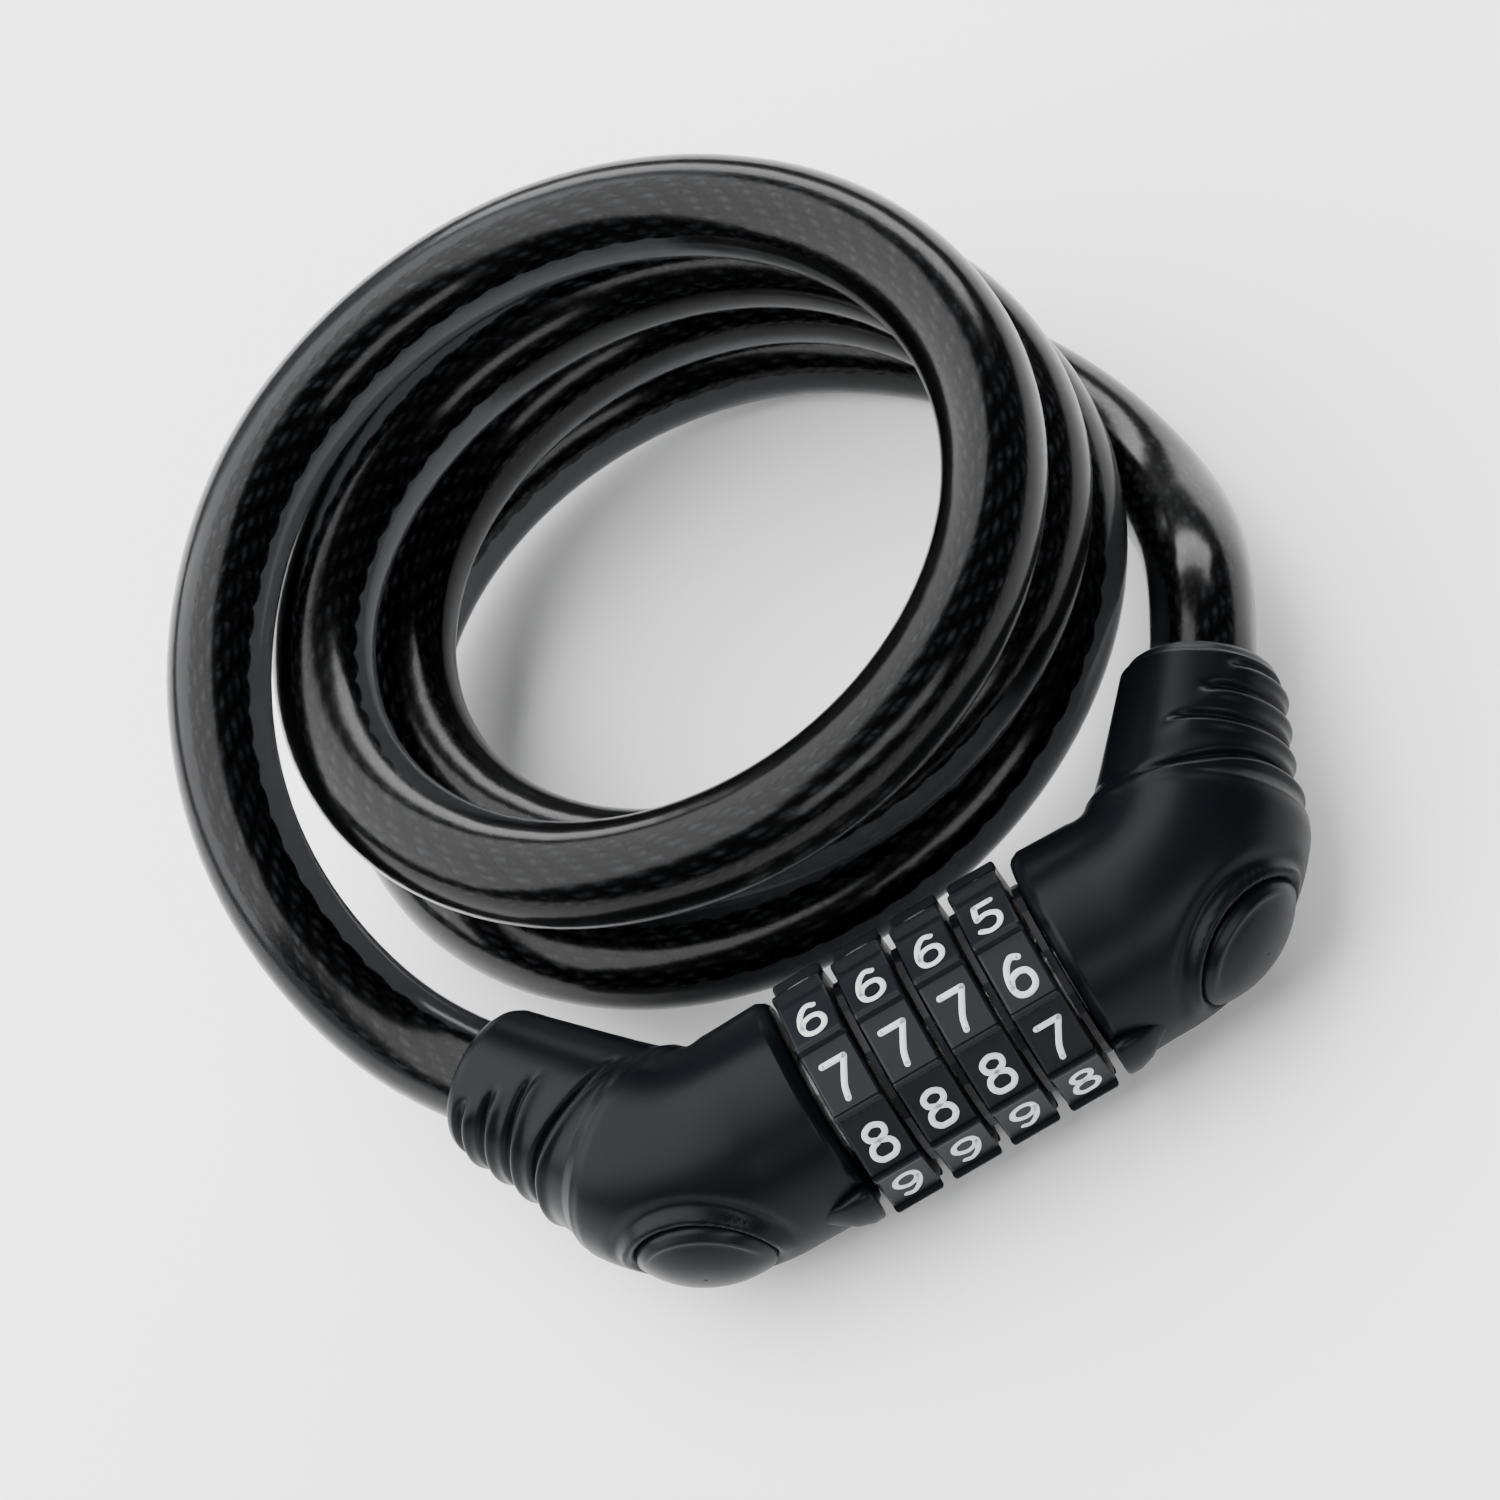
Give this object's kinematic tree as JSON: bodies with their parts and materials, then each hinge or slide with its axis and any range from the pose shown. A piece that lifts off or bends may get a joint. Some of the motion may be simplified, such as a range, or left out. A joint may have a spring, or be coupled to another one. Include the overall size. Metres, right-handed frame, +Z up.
{
  "type": "combination cable lock",
  "caption": "Coiled sheathed steel cable closed by a dial lock: two elbow housings, number rings and a sliding bolt.",
  "frame": {"origin": "on the surface the lock lies on, below the middle of the lock body without its cable", "axes": "+X along the dial axis towards the housing that pulls off, +Y from the lock towards the coil, +Z up"},
  "size_m": [0.1204, 0.1305, 0.0514],
  "materials": {
    "housing_plastic": "satin black moulded plastic",
    "ring_plastic": "satin black with pale engraved numbers",
    "inlay_rubber": "smooth black",
    "steel": "bright",
    "black_steel": "blackened steel, dull",
    "zinc": "die-cast zinc, grey",
    "brass": "machined",
    "cable_sheath": "smoky clear vinyl over twisted wire"
  },
  "bodies": {
    "lock_body": {"left_housing": "housing_plastic", "left_inlay": "inlay_rubber", "left_ferrule": "steel", "left_cable_pin": "steel", "left_carrier_pin": "steel", "dial_carrier": "zinc", "carrier_end_ring": "black_steel", "spacer_ring_1": "black_steel", "spacer_ring_2": "black_steel", "spacer_ring_3": "black_steel", "detent_spring": "steel", "cable": "cable_sheath"},
    "bolt_body": {"right_housing": "housing_plastic", "right_inlay": "inlay_rubber", "right_ferrule": "steel", "right_cable_pin": "steel", "right_bolt_pin": "steel", "locking_bolt": "steel"},
    "dial_1": {"number_ring_1": "ring_plastic", "code_ring_1": "brass"},
    "dial_2": {"number_ring_2": "ring_plastic", "code_ring_2": "brass"},
    "dial_3": {"number_ring_3": "ring_plastic", "code_ring_3": "brass"},
    "dial_4": {"number_ring_4": "ring_plastic", "code_ring_4": "brass"}
  },
  "joints": [
    {"name": "dial_1_turn", "type": "hinge", "parent": "lock_body", "child": "dial_1", "pos_m": [-0.00999, -0.00737, 0.01445], "axis": [1, 0, 0], "continuous": true},
    {"name": "dial_2_turn", "type": "hinge", "parent": "lock_body", "child": "dial_2", "pos_m": [-0.00255, -0.00737, 0.01445], "axis": [1, 0, 0], "continuous": true},
    {"name": "dial_3_turn", "type": "hinge", "parent": "lock_body", "child": "dial_3", "pos_m": [0.00487, -0.00737, 0.01445], "axis": [1, 0, 0], "continuous": true},
    {"name": "dial_4_turn", "type": "hinge", "parent": "lock_body", "child": "dial_4", "pos_m": [0.0123, -0.00737, 0.01445], "axis": [1, 0, 0], "continuous": true},
    {"name": "bolt_slide", "type": "slide", "parent": "lock_body", "child": "bolt_body", "axis": [1, 0, 0], "range_m": [0, 0.04], "deforming": ["cable"]}
  ]
}
